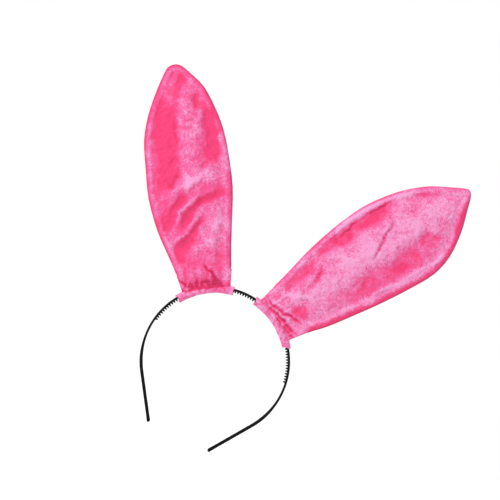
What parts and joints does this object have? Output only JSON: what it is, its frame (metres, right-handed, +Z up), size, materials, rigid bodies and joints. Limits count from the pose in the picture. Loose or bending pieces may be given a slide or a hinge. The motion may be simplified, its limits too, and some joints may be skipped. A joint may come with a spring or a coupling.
{
  "type": "animal ears headband",
  "caption": "Sprung plastic comb hoop with a pair of wired velour rabbit ears that slide round the hoop and fold at their necks.",
  "frame": {"origin": "the inner face of the hoop at its crown, midway across its width, where the hoop rests on the head", "axes": "+Z up through the crown of the hoop as it is worn, +X to the right seen from the front, and the front faces -Y"},
  "size_m": [0.2924, 0.0092, 0.3029],
  "materials": {
    "hoop_plastic": "moulded black, satin to gloss",
    "velour": "hot pink panne velour, crushed",
    "thread": "polyester sewing thread",
    "wire_steel": "bright drawn wire",
    "tape": "white cloth tape",
    "wadding": "white needled wadding"
  },
  "bodies": {
    "hoop": {"hoop_crown": "hoop_plastic"},
    "left_arm": {"hoop_left_arm": "hoop_plastic"},
    "right_arm": {"hoop_right_arm": "hoop_plastic"},
    "left_casing": {"left_casing": "velour", "left_casing_stitches": "thread"},
    "right_casing": {"right_casing": "velour", "right_casing_stitches": "thread"},
    "left_ear": {"left_ear_front": "velour", "left_ear_back": "velour", "left_ear_wire": "wire_steel", "left_wire_wrap": "tape", "left_ear_wadding": "wadding", "left_seam_thread": "thread"},
    "right_ear": {"right_ear_front": "velour", "right_ear_back": "velour", "right_ear_wire": "wire_steel", "right_wire_wrap": "tape", "right_ear_wadding": "wadding", "right_seam_thread": "thread"}
  },
  "joints": [
    {"name": "left_arm_flex", "type": "hinge", "parent": "hoop", "child": "left_arm", "pos_m": [-0.05847, 0, -0.03697], "axis": [0, 1, 0], "range_deg": [-4, 18], "stiffness_Nm_per_rad": 0.4},
    {"name": "right_arm_flex", "type": "hinge", "parent": "hoop", "child": "right_arm", "pos_m": [0.05847, 0, -0.03697], "axis": [0, -1, 0], "range_deg": [-4, 18], "stiffness_Nm_per_rad": 0.4},
    {"name": "left_ear_slide", "type": "hinge", "parent": "hoop", "child": "left_casing", "pos_m": [0, 0, -0.063], "axis": [0, -1, 0], "range_deg": [-7, 7]},
    {"name": "right_ear_slide", "type": "hinge", "parent": "hoop", "child": "right_casing", "pos_m": [0, 0, -0.063], "axis": [0, 1, 0], "range_deg": [-5, 11]},
    {"name": "left_ear_tilt", "type": "hinge", "parent": "left_casing", "child": "left_ear", "pos_m": [-0.03881, 0, -0.00547], "axis": [0.829, 0, 0.5592], "range_deg": [-40, 40]},
    {"name": "right_ear_tilt", "type": "hinge", "parent": "right_casing", "child": "right_ear", "pos_m": [0.0347, 0, -0.0029], "axis": [0.866, 0, -0.5], "range_deg": [-40, 40]}
  ]
}
